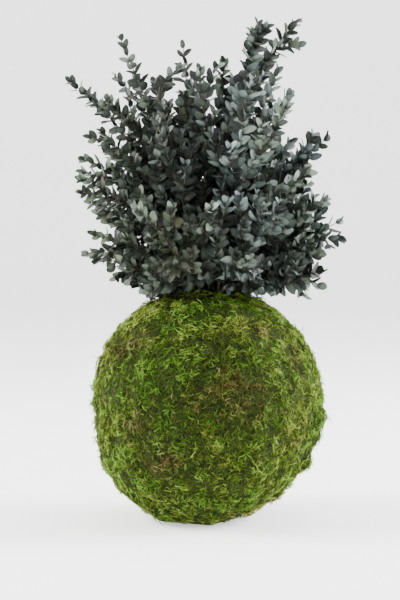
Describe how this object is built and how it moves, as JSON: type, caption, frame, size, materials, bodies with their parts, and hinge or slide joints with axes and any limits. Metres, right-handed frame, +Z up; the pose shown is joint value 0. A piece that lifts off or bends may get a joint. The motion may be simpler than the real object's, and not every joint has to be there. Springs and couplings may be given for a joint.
{
  "type": "kokedama moss ball plant",
  "caption": "Round soil ball wrapped in sheet moss, holding a dense upright fan of small-leaved eucalyptus sprays; a free-standing house plant that needs no pot.",
  "frame": {"origin": "on the small flat spot that the ball rests on, straight below the middle of the crown", "axes": "+Z up along the plant; +X to the right as seen from the front; the front is seen along +Y, and the fan of sprays is widest along X"},
  "size_m": [0.2597, 0.2201, 0.4743],
  "materials": {
    "moss": "fibrous sheet moss, dull, yellow-green with dark green and brown patches",
    "soil": "dark crumbly soil, dull",
    "foliage": "preserved leaves, soft satin, grey-green with a pale bloom, on brown stems"
  },
  "bodies": {
    "root": {"moss_wrap": "moss", "soil_core": "soil", "spray_left_droop": "foliage", "spray_left_lowest": "foliage", "spray_left_low": "foliage", "spray_left_low_front": "foliage", "spray_left_low_back": "foliage", "spray_left_mid": "foliage", "spray_left_mid_front": "foliage", "spray_left_long": "foliage", "spray_left_high_front": "foliage", "spray_left_high_back": "foliage", "spray_left_far": "foliage", "spray_left_upper": "foliage", "spray_left_upper_back": "foliage", "spray_left_spire": "foliage", "spray_left_inner": "foliage", "spray_middle_spire": "foliage", "spray_middle_front": "foliage", "spray_middle_back": "foliage", "spray_right_crest": "foliage", "spray_right_spire": "foliage", "spray_right_upper_back": "foliage", "spray_right_upper": "foliage", "spray_right_high_front": "foliage", "spray_right_high_back": "foliage", "spray_right_long": "foliage", "spray_right_mid_front": "foliage", "spray_right_mid_back": "foliage", "spray_right_mid": "foliage", "spray_right_far": "foliage", "spray_right_low_front": "foliage", "spray_right_low_back": "foliage", "spray_right_lowest": "foliage", "spray_right_droop": "foliage", "spray_front_low_left": "foliage", "spray_front_low_right": "foliage", "spray_front_mid_left": "foliage", "spray_front_mid": "foliage", "spray_front_mid_right": "foliage", "spray_front_high_left": "foliage", "spray_front_high_right": "foliage", "spray_back_low_left": "foliage", "spray_back_low_right": "foliage", "spray_back_mid_left": "foliage", "spray_back_mid": "foliage", "spray_back_mid_right": "foliage", "spray_back_high_left": "foliage", "spray_back_high_right": "foliage"}
  },
  "joints": []
}
